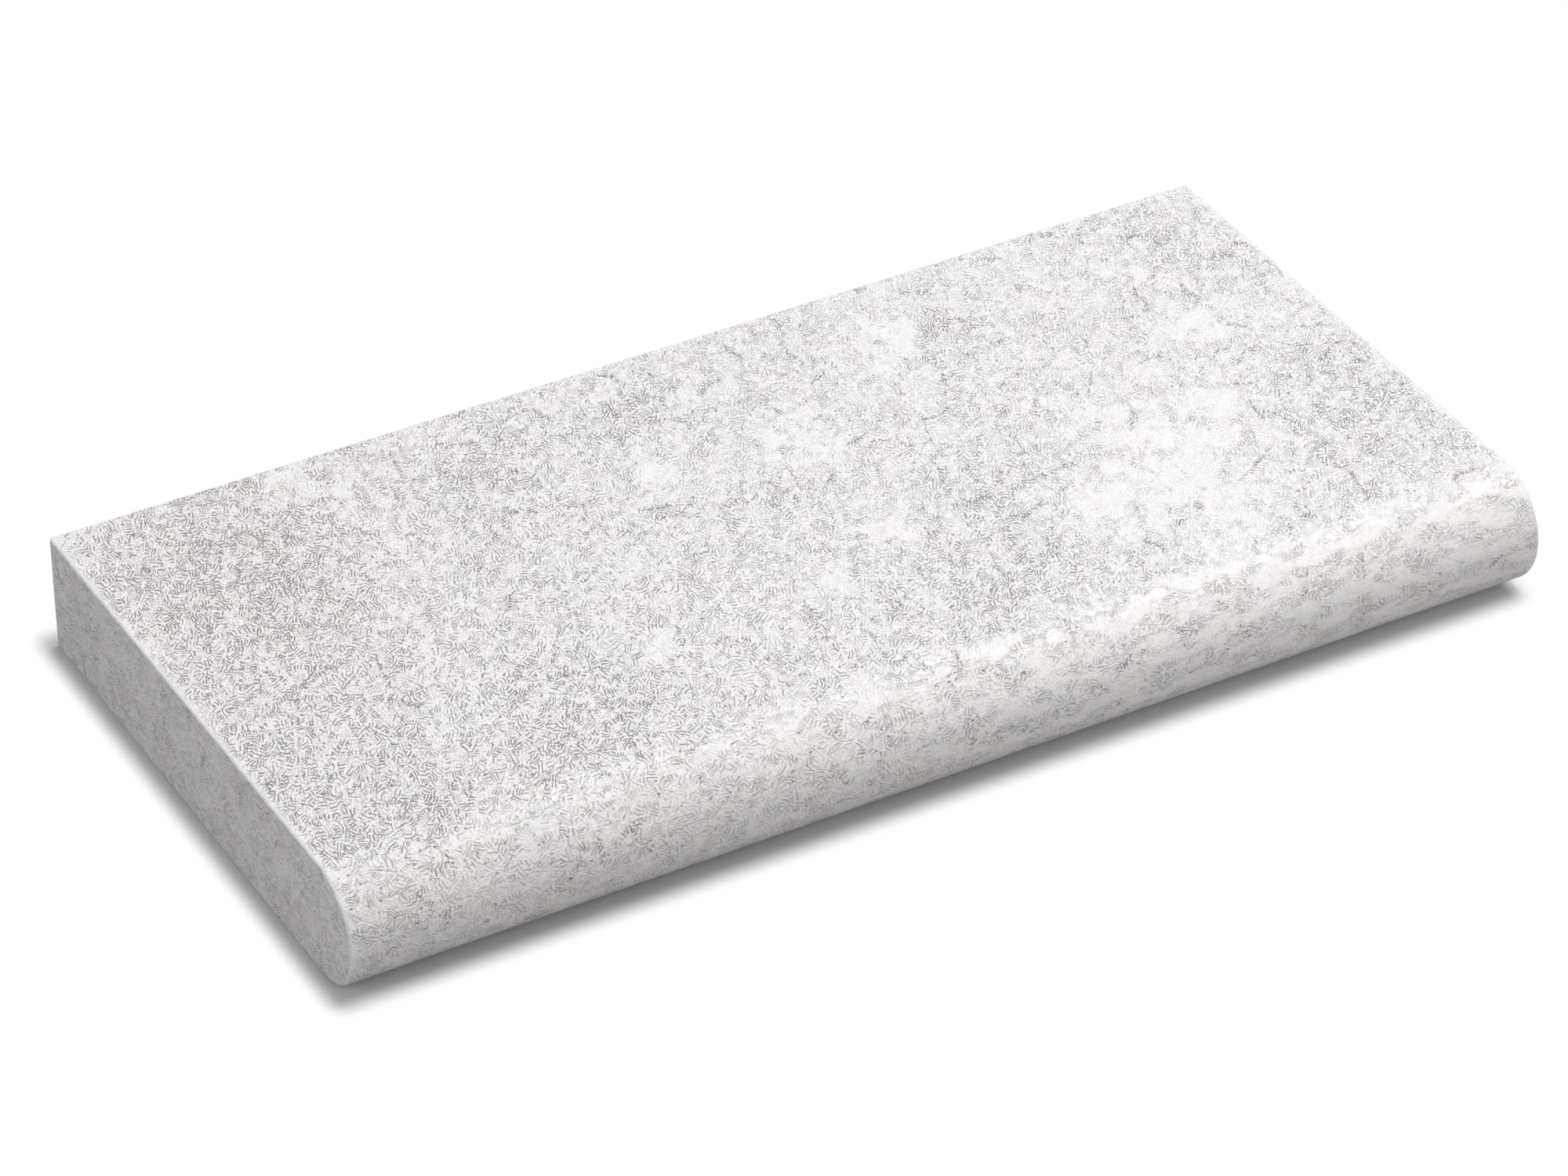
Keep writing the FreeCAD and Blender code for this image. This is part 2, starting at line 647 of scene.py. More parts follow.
        # Faces of the ends and the back are laid out beside the unrolled top, nose and bed
        on_end = bench.math(Step.OVER, bench.math(Step.SIZE_OF, side_along), 0.5)
        on_back = bench.math(Step.OVER, side_across, 0.5)
        skin_place = bench.join(along, unrolled)
        end_place = bench.join(across, bench.math(Step.ADD, up, END_ASIDE), side_along)
        back_place = bench.join(along, bench.math(Step.ADD, up, BACK_ASIDE))
        laid = bench.choose(on_end, bench.choose(on_back, skin_place, back_place), end_place)

        plain = bench.largest(bench.math(Step.SIZE_OF, out_along), out_across)
        off_bed = bench.span(half_turn, *edges.bed_fade, 1.0, 0.0)
        cover = bench.times(bench.span(plain, *edges.side_fade, 1.0, 0.0), off_bed)
        # Where the arris turns, the finish paints a pale highlight
        rim_highlight_fall = bench.span(plain, *edges.rim_highlight_fall, 1.0, 0.0)
        rim = bench.times(bench.span(plain, *edges.rim_highlight_rise), rim_highlight_fall)
        for mark, kind, domain, value in (
            (Mark.PLACE, "FLOAT_VECTOR", "CORNER", laid),
            (Mark.COVER, "FLOAT", "POINT", cover),
            (Mark.TURN, "FLOAT", "POINT", half_turn),
            (Mark.ARRIS, "FLOAT", "POINT", rim),
        ):
            store = bench.add("GeometryNodeStoreNamedAttribute", data_type=kind, domain=domain)
            shape = bench.fill(store, Geometry=shape, Name=mark.value, Value=value).outputs[0]
        return shape


@dataclass(frozen=True)
class CellLayer:
    """A drawing with one mark to a cell, bent so that its lines wander, in metres."""

    cell: float
    half_width: float
    bend: float
    bend_size: float
    depth: float
    seed: int

    def wandering(self, bench: NodeBench, place: Socket) -> Socket:
        """Bend the places to draw at."""
        return bench.stirred(bench.seeded(place, self.seed), self.bend_size, self.bend, self.seed)


@dataclass(frozen=True)
class StrokeLayer(CellLayer):
    """Short strokes, one or a few side by side to a cell, each cell's at their own angle."""

    half_length: float
    share: float
    edge: float = 0.4
    fade: float = 0.35
    half_pitch: Optional[Pair] = None

    def mask(self, bench: NodeBench, place: Socket) -> Socket:
        """Draw the strokes.

        Args:
            bench: the material's bench.
            place: where they are drawn, in metres.

        Returns:
            How dark the strokes are there, 0 between them.
        """
        wandering = self.wandering(bench, place)
        cells = bench.cells(wandering, self.cell, CellPart.MIDDLE)
        from_middle = bench.vector(VectorStep.SUBTRACT, wandering, cells.outputs["Position"])
        lots = bench.add("ShaderNodeSeparateColor", cells.outputs["Color"]).outputs
        turned = bench.turned(from_middle, bench.times(lots[0], 2.0 * math.pi))
        lengthways, across, _ = bench.split(turned)
        if self.half_pitch:
            across = bench.math(Step.FOLD, across, bench.between(lots[2], *self.half_pitch))
        beyond = bench.math(Step.SUBTRACT, bench.math(Step.SIZE_OF, lengthways), self.half_length)
        away = bench.vector(VectorStep.LENGTH, bench.join(bench.largest(beyond, 0.0), across))
        stroke = bench.span(away, self.half_width * self.edge, self.half_width, self.depth, 0.0)
        return bench.times(stroke, bench.span(lots[1], self.share - self.fade, self.share, 1.0, 0.0))


@dataclass(frozen=True)
class NetLayer(CellLayer):
    """A net of thin lines round small cells, broken here and there."""

    gap_size: float
    thin_to: float
    gap_edge: Pair = (0.35, 0.62)

    def mask(self, bench: NodeBench, place: Socket) -> Socket:
        """Draw the net.

        Args:
            bench: the material's bench.
            place: where it is drawn, in metres.

        Returns:
            How dark the lines are there, 0 between them.
        """
        cells = bench.cells(self.wandering(bench, place), self.cell, CellPart.EDGE)
        line = bench.span(cells.outputs["Distance"], 0.0, self.half_width / self.cell, self.depth, 0.0)
        gaps = bench.noise(bench.seeded(place, self.seed), self.gap_size, self.seed).outputs[0]
        return bench.times(line, bench.span(gaps, *self.gap_edge, self.thin_to, 1.0))


@dataclass(frozen=True)
class Lumps:
    """Soft random lumps: how wide, in metres, their seed, how much finer detail and how drawn out."""

    size: float
    seed: int
    detail: float = 2.0
    roughness: float = 0.6
    stretch: float = 1.0

    def lay(self, bench: NodeBench, place: Socket) -> Node:
        """Lay the lumps' node over the places where they are read."""
        drawn_at = bench.squeezed(place, self.stretch)
        return bench.noise(drawn_at, self.size, self.seed, self.detail, self.roughness)

    def height(self, bench: NodeBench, place: Socket) -> Socket:
        """Read how high the lumps are, around 0.5."""
        return self.lay(bench, place).outputs[0]


class Sway(NamedTuple):
    """Random pushes of places: how wide each is and how far it pushes, in metres, and their seed."""

    size: float
    reach: float
    seed: int


class ToneSpot(NamedTuple):
    """A soft round spot on the top, in millimetres from the middle of the tile."""

    along: float
    across: float
    radius: float
    strength: float = 1.0


FINE_NET = NetLayer(
    cell=1.45 * MM, half_width=0.42 * MM, bend=0.9 * MM, bend_size=1.4 * MM, depth=0.50, seed=1,
    gap_size=1.4 * MM, thin_to=0.25,
)
SHORT_WORMS = StrokeLayer(
    cell=1.95 * MM, half_width=0.37 * MM, bend=1.3 * MM, bend_size=2.1 * MM, depth=0.80,
    seed=2, half_length=1.0 * MM, share=0.35,
)
STROKE_GROUPS = StrokeLayer(
    cell=3.0 * MM, half_width=0.38 * MM, bend=1.0 * MM, bend_size=2.8 * MM, depth=0.80,
    seed=3, half_length=1.3 * MM, share=1.05, fade=0.7, half_pitch=(0.58 * MM, 0.9425 * MM),
)
DARK_DOTS = StrokeLayer(
    cell=4.8 * MM, half_width=0.62 * MM, bend=0.4 * MM, bend_size=3.0 * MM, depth=1.1,
    seed=4, half_length=0.1 * MM, share=0.60,
)
VEINS = StrokeLayer(
    cell=17 * MM, half_width=1.7 * MM, bend=7 * MM, bend_size=9 * MM, depth=1.0,
    seed=5, half_length=5.5 * MM, share=0.75, edge=0.1,
)

PALE_SPOTS = (
    ToneSpot(165, -45, 64, 0.70),
    ToneSpot(165, -100, 36, 0.60),
    ToneSpot(120, -60, 17),
    ToneSpot(172, -58, 24, 0.90),
    ToneSpot(208, -20, 16),
    ToneSpot(-40, 61, 15),
    ToneSpot(27, 50, 20, 0.80),
    ToneSpot(28, -32, 12),
    ToneSpot(-13, -53, 13),
    ToneSpot(-100, -53, 13, 0.80),
    ToneSpot(240, 47, 15),
    ToneSpot(240, 100, 14, 0.80),
    ToneSpot(-172, 113, 11),
    ToneSpot(-187, 140, 26, 0.70),
    ToneSpot(-50, 118, 14, 0.55),
    ToneSpot(100, 97, 24, 0.80),
    ToneSpot(167, 115, 14, 0.45),
    ToneSpot(150, 128, 14, 0.40),
)
DENSE_SPOTS = (
    ToneSpot(-245, 80, 75),
    ToneSpot(-270, -50, 75, 0.70),
    ToneSpot(-262, -105, 60, 0.80),
    ToneSpot(-160, -95, 60, 0.70),
    ToneSpot(-28, 105, 26),
    ToneSpot(-100, 100, 45, 0.50),
    ToneSpot(50, -85, 42, 0.70),
    ToneSpot(85, -15, 34, 0.70),
    ToneSpot(130, 95, 30, 0.90),
    ToneSpot(256, 105, 34, 0.60),
    ToneSpot(262, -60, 55, 0.70),
)
BEIGE_SPOTS = (
    ToneSpot(-250, 90, 85),
    ToneSpot(-200, 60, 60, 0.80),
)


@dataclass
class StoneLookFinish:
    """Unglazed pale stone look: fine grey strokes on the top and nose, and fainter ones on the sides."""

    sizes: TileSizes
    name: str = "stone_look_tile"

    # The material's bench, and the tile's faces laid out flat, as its nodes read them
    bench: NodeBench = field(init=False)
    place: Socket = field(init=False)
    along: Socket = field(init=False)
    down: Socket = field(init=False)
    cover: Socket = field(init=False)
    turn: Socket = field(init=False)
    on_print: Socket = field(init=False)

    # What is drawn, and how it is turned and drawn out on the top, the nose and the sides
    net: NetLayer = FINE_NET
    worms: Tuple[StrokeLayer, ...] = (SHORT_WORMS, STROKE_GROUPS, DARK_DOTS)
    worm_strength: Pair = (1.12, 0.74)
    veins: StrokeLayer = VEINS
    flow_slant: float = 0.516
    flow_stretch: float = 0.68
    nose_stretch: float = 0.82
    nose_edge: Lumps = Lumps(12 * MM, seed=61, detail=1.0, roughness=0.5)
    nose_edge_ramp: Ramp = (0.3, 0.7, -12 * MM, -3 * MM)
    side_stretch: float = 0.60
    side_fineness: float = 1.55
    side_slant: float = 0.20
    side_net: float = 0.60

    # How thickly it lies
    most_ink: float = 0.9
    far_lean: float = 0.6
    far_reach: Pair = (-260 * MM, 380 * MM)
    small_lumps: Lumps = Lumps(9 * MM, seed=22)
    small_ramp: Ramp = (0.28, 0.72, 0.86, 1.13)
    clouds: Lumps = Lumps(18 * MM, seed=23)
    cloud_edge: Pair = (0.02, 0.17)
    cloud_rim: Pair = (1.15, 1.43)
    cloud_heart: Pair = (0.92, 0.84)
    dense_spots: Tuple[ToneSpot, ...] = DENSE_SPOTS
    dense_sway: Sway = Sway(30 * MM, 40 * MM, seed=24)
    dense_grain: Pair = (0.88, 1.35)
    vein_grain: Pair = (0.92, 1.80)
    pale_grain: Pair = (1.0, 0.38)
    side_clusters: Lumps = Lumps(12 * MM, seed=25, stretch=0.6)
    side_ramp: Ramp = (0.34, 0.58, 0.60, 1.0)
    nose_streaks: Lumps = Lumps(8 * MM, seed=26, stretch=0.4)
    streak_edge: Pair = (0.36, 0.60)
    streak_reach: Pair = (-200 * MM, 150 * MM)
    thin_streaks: Pair = (0.42, 0.20)
    thick_streaks: Pair = (0.68, 0.80)
    nose_start: Pair = (6 * MM, -10 * MM)

    # Pale spots on the top, and a painted highlight of white blots along the nose
    pale_spots: Tuple[ToneSpot, ...] = PALE_SPOTS
    pale_sways: Tuple[Sway, ...] = (
        Sway(16 * MM, 18 * MM, seed=11),
        Sway(5 * MM, 9 * MM, seed=12),
    )
    spot_reach: float = 1.35
    islands: Lumps = Lumps(11 * MM, seed=13, roughness=0.5)
    island_lift: float = 0.5
    island_edge: Pair = (0.70, 0.80)
    island_share: float = 0.5
    highlight_blots: Lumps = Lumps(8 * MM, seed=62, detail=3.0, stretch=0.6)
    highlight_blot_rise: Pair = (0.04, 0.10)
    highlight_blot_fall: Pair = (0.14, 0.25)
    highlight_blot_lift: Ramp = (-260 * MM, 60 * MM, 0.11, 0.20)
    highlight_blot_edge: Pair = (0.74, 0.84)
    highlight_blot_grain: float = 0.12

    # Colours
    ground: Colour = (0.955, 0.936, 0.940, 1.0)
    warm_ground: Colour = (0.961, 0.928, 0.938, 1.0)
    warm_reach: Pair = (-260 * MM, 60 * MM)
    beige_ground: Colour = (0.966, 0.920, 0.921, 1.0)
    beige_spots: Tuple[ToneSpot, ...] = BEIGE_SPOTS
    beige_sway: Sway = Sway(30 * MM, 40 * MM, seed=27)
    nose_ground: Colour = (0.948, 0.917, 0.907, 1.0)
    nose_turn: Pair = (0.02, 0.22)
    pale: Colour = (0.960, 0.943, 0.945, 1.0)
    ink: Colour = (0.204, 0.189, 0.194, 1.0)
    body: Colour = (0.803, 0.778, 0.781, 1.0)
    body_dark: Colour = (0.768, 0.743, 0.746, 1.0)
    body_clouds: Lumps = Lumps(9 * MM, seed=31, detail=3.0, stretch=0.45)
    body_edge: Pair = (0.35, 0.70)
    # Painted highlight: the pale colour that the arrises and a band inside the print's ends are painted
    # with
    arris: Colour = (0.95, 0.935, 0.935, 1.0)
    arris_highlight_share: float = 0.9
    rim_highlight_band: Pair = (4.8 * MM, 1.8 * MM)
    rim_highlight_share: float = 0.42
    tint: float = 0.05
    tint_lumps: Lumps = Lumps(26 * MM, seed=71)

    # Shine and fine relief
    shine: Lumps = Lumps(20 * MM, seed=41, roughness=0.5)
    shine_edge: Pair = (0.3, 0.7)
    satin: Pair = (0.48, 0.60)
    side_dullness: float = 0.15
    swells: Lumps = Lumps(6 * MM, seed=51, detail=1.0, roughness=0.5)
    swell_height: float = 0.35 * MM
    grain_depth: float = 0.45 * MM
    top_relief: float = 0.22

    def material(self) -> Material:
        """Lay the finish's nodes.

        Returns:
            The material.
        """
        finish = bpy.data.materials.new(self.name)
        bench = NodeBench.of(finish)
        self.lay_out(bench)
        # Painted highlight: ragged white blots along the nose's upper side, with thinner grain in them
        highlight_blots = self.painted_nose_highlight()
        pale = self.pale_cover()
        far = self.farness()
        streaks = self.streaks()
        drawn = self.drawing(far)
        density = bench.times(
            self.density(far, pale),
            self.down_to_nose(1.0, streaks),
            bench.between(highlight_blots, 1.0, self.highlight_blot_grain),
        )
        inked = bench.math(Step.SMALLER, bench.times(drawn, density), self.most_ink)
        # The painted highlight along the nose takes the pale colour, as the print's pale spots do
        printed = bench.blend(bench.largest(pale, highlight_blots), self.print_ground(), self.pale)
        colour = bench.blend(self.cover, self.plain_body(), printed)
        colour = self.tinted(bench.blend(inked, colour, self.ink))
        # Painted highlight: the arrises and a band inside the print's ends are painted pale
        colour = bench.blend(self.painted_rim_highlight(), colour, self.arris)

        bump = bench.add("ShaderNodeBump")
        bench.fill(bump, Strength=1.0, Distance=MM, Height=self.relief(drawn, streaks))
        shader = bench.add("ShaderNodeBsdfPrincipled", colour)
        bench.fill(shader, Roughness=self.roughness(), Normal=bump.outputs[0])
        bench.add("ShaderNodeOutputMaterial", shader.outputs[0])
        return finish

    def lay_out(self, bench: NodeBench) -> None:
        """Lay the nodes that read the faces; on_print is 1 on the top, nose and bed.

        Args:
            bench: the material's bench.
        """
        self.bench = bench
        self.place = self.mark(Mark.PLACE, "Vector")
        self.along, self.down, _ = bench.split(self.place)
        self.cover = self.mark(Mark.COVER)
        self.turn = self.mark(Mark.TURN)
        self.on_print = bench.math(Step.UNDER, self.down, SIDES_START)

    def mark(self, mark: Mark, output: str = "Fac") -> Socket:
        """Read one of the mesh's attributes from one of its node's outputs."""
        return self.bench.add("ShaderNodeAttribute", attribute_name=mark.value).outputs[output]

    def painted_rim_highlight(self) -> Socket:
        """Where a highlight is painted pale along the edges: on the arrises, and in a soft band inside the
        ends of the print.

        Returns:
            How much of the print the painted highlight covers.
        """
        bench, half = self.bench, self.sizes.length / 2
        arris = bench.times(self.mark(Mark.ARRIS), self.arris_highlight_share)
        from_middle = bench.math(Step.SIZE_OF, self.along)
        inside = bench.span(from_middle, *(half - inset for inset in self.rim_highlight_band))
        return bench.largest(arris, bench.times(inside, self.rim_highlight_share, self.on_print))

    def flowing(self, place: Socket) -> Socket:
        """Turn and squeeze a place, so that what is drawn there comes out drawn out along the flow."""
        return self.bench.squeezed(self.bench.turned(place, self.flow_slant), 1.0, self.flow_stretch)

    def flowing_spot(self, spot: ToneSpot) -> Triple:
        """Turn and squeeze a spot's middle like the places of the flow.

        Args:
            spot: the spot.

        Returns:
            The spot's middle.
        """
        along, across = spot.along * MM, spot.across * MM + self.sizes.nose_ahead
        cosine, sine = math.cos(self.flow_slant), math.sin(self.flow_slant)
        return along * cosine - across * sine, (along * sine + across * cosine) * self.flow_stretch, 0.0

    def grain_place(self) -> Socket:
        """Turn the grain on the top, stretch it along the nose, and stretch and slant it on the sides.

        Returns:
            The place to draw the grain at.
        """
        bench, place = self.bench, self.place
        on_side = bench.math(Step.OVER, self.down, SIDES_START)
        nose_edge = bench.span(self.nose_edge.height(bench, place), *self.nose_edge_ramp)
        on_nose = bench.math(Step.UNDER, self.down, nose_edge)
        nose_place = bench.squeezed(place, self.nose_stretch)
        slanted = bench.turned(place, self.side_slant)
        side_place = bench.squeezed(slanted, self.side_stretch * self.side_fineness, self.side_fineness)
        front_place = bench.choose(on_nose, self.flowing(place), nose_place)
        return bench.choose(on_side, front_place, side_place)

    def drawing(self, far: Socket) -> Socket:
        """Draw the net and the strokes over each other.

        Args:
            far: how far towards the right end and the back.

        Returns:
            How dark the darkest of them is at each place.
        """
        bench, place = self.bench, self.grain_place()
        net = bench.times(self.net.mask(bench, place), bench.between(self.cover, self.side_net, 1.0))
        worms = bench.largest(*(layer.mask(bench, place) for layer in self.worms))
        return bench.largest(net, bench.times(worms, bench.between(far, *self.worm_strength)))

    def spotted(self, place: Socket, spots: Tuple[ToneSpot, ...]) -> Socket:
        """Join soft spots.

        Args:
            place: where on them, pushed about to make the spots ragged.
            spots: the spots.

        Returns:
            A spot's strength in its middle, and 0 outside all spots.
        """
        bench, flow = self.bench, self.flowing(place)
        shares = []
        for spot in spots:
            away = bench.vector(VectorStep.DISTANCE, flow, self.flowing_spot(spot))
            shares.append(bench.span(away, 0.0, spot.radius * MM * self.spot_reach, spot.strength, 0.0))
        return bench.largest(*shares)

    def pale_cover(self) -> Socket:
        """Where the print on the top is pale: soft spots with rounded islands in them.

        Returns:
            1 where it is palest and 0 where it isn't pale.
        """
        bench, ragged = self.bench, self.place
        for sway in self.pale_sways:
            ragged = bench.stirred(ragged, *sway)
        soft = self.spotted(ragged, self.pale_spots)
        lumps = self.islands.height(bench, self.flowing(self.place))
        lifted = bench.math(Step.MULTIPLY_ADD, soft, self.island_lift, lumps)
        islands = bench.times(bench.span(lifted, *self.island_edge), self.island_share)
        return bench.math(Step.MULTIPLY_ADD, soft, 1.0 - self.island_share, islands)

    def painted_nose_highlight(self) -> Socket:
        """Painted highlight: ragged white blots in a row along the nose's upper side, more of them to the
        right.

        Returns:
            1 in a blot of the painted highlight and 0 outside them.
        """
        bench = self.bench
        fall = bench.span(self.turn, *self.highlight_blot_fall, 1.0, 0.0)
        band = bench.times(bench.span(self.turn, *self.highlight_blot_rise), fall)
        lift = bench.span(self.along, *self.highlight_blot_lift)
        raised = bench.math(Step.MULTIPLY_ADD, band, lift, self.highlight_blots.height(bench, self.place))
        return bench.span(raised, *self.highlight_blot_edge)

    def farness(self) -> Socket:
        """How far it is towards the right of the back: 0 at the left of the nose and on the sides."""
        reach = self.bench.math(Step.MULTIPLY_ADD, self.down, self.far_lean, self.along)
        return self.bench.times(self.bench.span(reach, *self.far_reach), self.on_print)

    def density(self, far: Socket, pale: Socket) -> Socket:
        """How thickly the grain lies.

        Args:
            far: how far towards the right end and the back.
            pale: where the print is pale.

        Returns:
            About 1 where it is thick and 0 where there is none.
        """
        bench, flow = self.bench, self.flowing(self.place)
        small = bench.span(self.small_lumps.height(bench, flow), *self.small_ramp)
        from_middle = bench.math(Step.SUBTRACT, self.clouds.height(bench, flow), 0.5)
        rim = bench.between(far, *self.cloud_rim)
        heart = bench.between(far, *self.cloud_heart)
        cloud = bench.span(bench.math(Step.SIZE_OF, from_middle), *self.cloud_edge, rim, heart)
        dense = self.spotted(bench.stirred(self.place, *self.dense_sway), self.dense_spots)
        on_side = bench.span(self.side_clusters.height(bench, self.place), *self.side_ramp)
        return bench.times(
            small,
            cloud,
            bench.between(dense, *self.dense_grain),
            bench.between(self.veins.mask(bench, flow), *self.vein_grain),
            bench.between(pale, *self.pale_grain),
            bench.between(self.cover, on_side, 1.0),
        )

    def streaks(self) -> Socket:
        """Thin the grain out on the nose, in level streaks with smooth stretches between them.

        Returns:
            How thick the grain is there if it is on the nose.
        """
        bench = self.bench
        thinnest = bench.span(self.along, *self.streak_reach, *self.thin_streaks)
        thickest = bench.span(self.along, *self.streak_reach, *self.thick_streaks)
        streak = self.nose_streaks.height(bench, self.place)
        return bench.span(streak, *self.streak_edge, thinnest, thickest)

    def down_to_nose(self, on_top: Feed, on_nose: Feed) -> Socket:
        """Change softly from the amount on the top and the sides to the amount on the nose."""
        return self.bench.span(self.down, *self.nose_start, on_top, on_nose)

    def relief(self, drawn: Socket, streaks: Socket) -> Socket:
        """Height of the fine relief: soft swells with the grain cut into them.

        Args:
            drawn: where the grain is drawn.
            streaks: how thick it is on the nose.

        Returns:
            The height, in millimetres.
        """
        bench = self.bench
        height = bench.times(self.swells.height(bench, self.place), self.swell_height / MM)
        grain = bench.times(drawn, self.down_to_nose(self.top_relief, streaks))
        return bench.math(Step.MULTIPLY_ADD, grain, -self.grain_depth / MM, height)

    def print_ground(self) -> Socket:
        """Colour of the print's ground, warmer to the left and down the nose, beige at the back left.

        Returns:
            The colour.
        """
        bench = self.bench
        warm = bench.span(self.along, *self.warm_reach, 1.0, 0.0)
        on_top = bench.blend(warm, self.ground, self.warm_ground)
        beige = self.spotted(bench.stirred(self.place, *self.beige_sway), self.beige_spots)
        on_top = bench.blend(beige, on_top, self.beige_ground)
        return bench.blend(bench.span(self.turn, *self.nose_turn), on_top, self.nose_ground)

    def plain_body(self) -> Socket:
        """Colour of the sides, with faint clouds drawn out level."""
        cloud = self.bench.span(self.body_clouds.height(self.bench, self.place), *self.body_edge)
        return self.bench.blend(cloud, self.body, self.body_dark)

    def tinted(self, colour: Socket) -> Socket:
        """Let the colour drift a little towards warm, green and rose.

        Args:
            colour: the colour before.

        Returns:
            The drifting colour.
        """
        bench, level = self.bench, 1.0 - self.tint / 2
        lumps = self.tint_lumps.lay(bench, self.place).outputs["Color"]
        drift = bench.vector(VectorStep.SCALE, lumps, self.tint)
        drift = bench.vector(VectorStep.ADD, drift, (level, level, level))
        return bench.vector(VectorStep.MULTIPLY, colour, drift)

    def roughness(self) -> Socket:
        """How dull the face is.

        Returns:
            The roughness.
        """
        bench = self.bench
        satin = bench.span(self.shine.height(bench, self.place), *self.shine_edge, *self.satin)
        bare = bench.math(Step.SUBTRACT, 1.0, self.cover)
        return bench.math(Step.MULTIPLY_ADD, bare, self.side_dullness, satin)


@dataclass
class BullnoseTile:
    """The tile: one fired piece with a full half-round nose and arrised ends."""

    node: str = "bullnose_tile"
    body: str = "root"
    slot: str = "tile_body"
    arris_radius: float = 2 * MM

    def build(self) -> None:
        """Shape the tile, dress it and put it in the CAD node's place."""
        sizes = TileSizes.of_node(self.node, self.arris_radius)
        finish = StoneLookFinish(sizes).material()
        piece = TileForm(sizes).grow("stone_look_bullnose_tile", finish)
        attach(piece, self.body)
        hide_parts(self.node)
        LOG.info("%s: %d faces", piece.name, len(piece.data.polygons))


@dataclass(frozen=True)
class SoftLamp:
    """A soft square lamp, named by the light it gives: 1 makes a white face that looks at it white."""

    name: str
    towards: Triple
    distance: float
    size: float
    light: float

    def hang(self) -> None:
        """Hang the lamp, turned to the middle of the tile."""
        data = bpy.data.lights.new(self.name, "AREA")
        data.shape = "SQUARE"
        data.size = self.size
        data.energy = self.light * math.pi ** 2 * self.distance ** 2
        lamp = bpy.data.objects.new(self.name, data)
        way = Vector(self.towards).normalized()
        lamp.location = way * self.distance
        lamp.rotation_euler = way.to_track_quat("Z", "Y").to_euler()
        bpy.context.scene.collection.objects.link(lamp)
        LOG.info("lamp %s hung", lamp.name)


@dataclass(frozen=True)
class PortraitCamera:
    """The camera at the photograph's angle."""

    azimuth: float = -29.558
    elevation: float = 35.657
    distance: float = 2.9391
    lens: float = 148.94
    sensor: float = 36.0
    aim: Triple = (-0.0017, 0.0115, 0.0128)

    def place(self) -> None:
        """Set the camera up as the scene's own."""
        data = bpy.data.cameras.new("portrait")
        data.lens = self.lens
        data.sensor_width = self.sensor
        camera = bpy.data.objects.new("portrait", data)
        turn = math.radians(self.azimuth)
        rise = math.radians(self.elevation)
        right = Vector((math.cos(turn), math.sin(turn), 0.0))
        back = Vector((math.sin(turn) * math.cos(rise), -math.cos(turn) * math.cos(rise), math.sin(rise)))
        facing = Matrix((right, back.cross(right), back)).transposed()
        camera.matrix_world = Matrix.Translation(Vector(self.aim) + back * self.distance) @ facing.to_4x4()
        bpy.context.scene.collection.objects.link(camera)
        bpy.context.scene.camera = camera
        LOG.info("camera %s placed", camera.name)


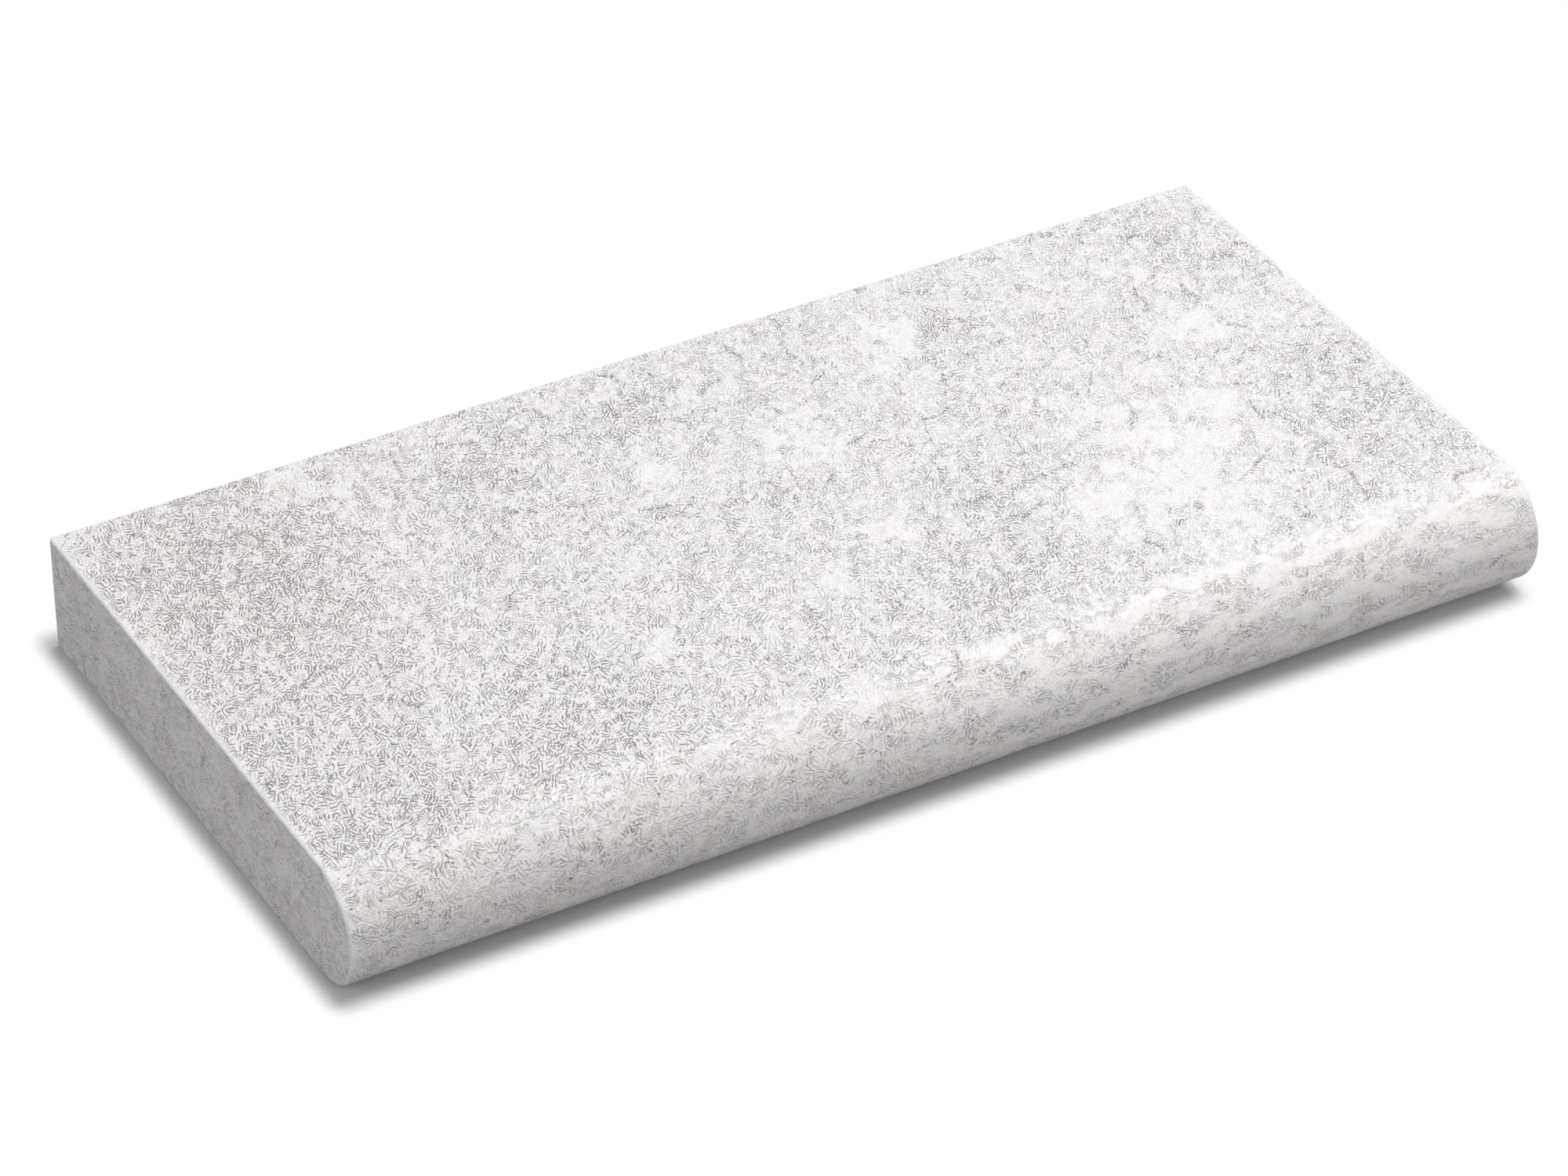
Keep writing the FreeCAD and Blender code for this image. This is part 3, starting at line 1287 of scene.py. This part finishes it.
@dataclass
class Studio:
    """Plain pale floor with a painted shadow close to the tile, white surroundings and soft lamps."""

    sky_light: float = 0.40
    floor_half: float = 4.0
    # Painted shadow: the grey that the floor has close to the tile, deepening the real shadow there
    painted_shadow_grey: Colour = (0.66, 0.66, 0.66, 1.0)
    floor_bounce: Colour = (0.25, 0.25, 0.25, 1.0)
    # Painted shadow: the grey band round the tile's footprint, drawn in under the nose and at the right
    # end, tighter at the left, fading out to white
    nose_overhang: float = 13 * MM
    right_end_in: float = 10 * MM
    left_tightness: float = 1.38
    shadow_near: float = 1 * MM
    shadow_far: float = 17 * MM
    lamps: Tuple[SoftLamp, ...] = (
        SoftLamp("overhead_softbox", (0.32, 0.10, 0.94), 2.2, 1.0, 0.49),
        SoftLamp("front_fill", (0.35, -0.80, 0.50), 2.6, 1.6, 0.229),
        SoftLamp("left_fill", (-0.90, -0.10, 0.42), 2.6, 1.4, 0.19),
    )

    def build(self) -> None:
        """Light the scene and lay the floor."""
        self.surround()
        for lamp in self.lamps:
            lamp.hang()
        self.floor()

    def shown(self, bench: NodeBench) -> Socket:
        """Find 1 for camera, glossy and transmission rays, and 0 for those that light the tile."""
        path = bench.add("ShaderNodeLightPath").outputs
        return bench.largest(path["Is Camera Ray"], path["Is Glossy Ray"], path["Is Transmission Ray"])

    def surround(self) -> None:
        """Make the surroundings: white to look at, even soft light on the tile."""
        world = bpy.data.worlds.new("white_surroundings")
        bench = NodeBench.of(world)
        light = bench.add("ShaderNodeBackground", WHITE, self.sky_light)
        white = bench.add("ShaderNodeBackground", WHITE)
        mixed = bench.add("ShaderNodeMixShader", self.shown(bench), light.outputs[0], white.outputs[0])
        bench.add("ShaderNodeOutputWorld", mixed.outputs[0])
        bpy.context.scene.world = world

    def floor(self) -> None:
        """Lay the floor under the tile."""
        reach = self.floor_half
        corners = [(-reach, -reach, 0.0), (reach, -reach, 0.0), (reach, reach, 0.0), (-reach, reach, 0.0)]
        mesh = bpy.data.meshes.new("studio_floor")
        mesh.from_pydata(corners, [], [(0, 1, 2, 3)])
        mesh.materials.append(self.floor_finish())
        floor = bpy.data.objects.new("studio_floor", mesh)
        bpy.context.scene.collection.objects.link(floor)
        LOG.info("%s laid", floor.name)

    def floor_finish(self) -> Material:
        """Lay the floor's nodes: a painted shadow close to the tile, where a grey floor under the real
        light deepens the real shadow, closest at the left, and white beyond.

        Returns:
            The floor's material.
        """
        finish = bpy.data.materials.new("pale_floor")
        bench = NodeBench.of(finish)
        low, high = CAD_BOX
        along, across, _ = bench.split(bench.add("ShaderNodeTexCoord").outputs["Object"])
        past_right = bench.math(Step.SUBTRACT, along, high[0] - self.right_end_in)
        past_left = bench.times(bench.math(Step.SUBTRACT, low[0], along), self.left_tightness)
        ahead = bench.math(Step.SUBTRACT, low[1] + self.nose_overhang, across)
        behind = bench.math(Step.SUBTRACT, across, high[1])
        out_along = bench.largest(past_right, past_left, 0.0)
        outside = bench.join(out_along, bench.largest(ahead, behind, 0.0))
        away = bench.vector(VectorStep.LENGTH, outside)
        beyond = bench.span(away, self.shadow_near, self.shadow_far)

        # Painted shadow: near the tile the floor is grey under the real light; farther out it turns to
        # even white
        lit = bench.add("ShaderNodeBsdfDiffuse", self.painted_shadow_grey)
        white = bench.add("ShaderNodeEmission", WHITE)
        bounce = bench.add("ShaderNodeBsdfDiffuse", self.floor_bounce)
        seen = bench.add("ShaderNodeMixShader", beyond, lit.outputs[0], white.outputs[0])
        mixed = bench.add("ShaderNodeMixShader", self.shown(bench), bounce.outputs[0], seen.outputs[0])
        bench.add("ShaderNodeOutputMaterial", mixed.outputs[0])
        return finish


def main() -> None:
    """Build the tile, the studio and the camera."""
    logging.basicConfig(level=logging.INFO, format="%(name)s: %(message)s")
    bpy.context.scene.view_settings.view_transform = "Standard"
    BullnoseTile().build()
    Studio().build()
    PortraitCamera().place()


if __name__ == "__main__":
    main()
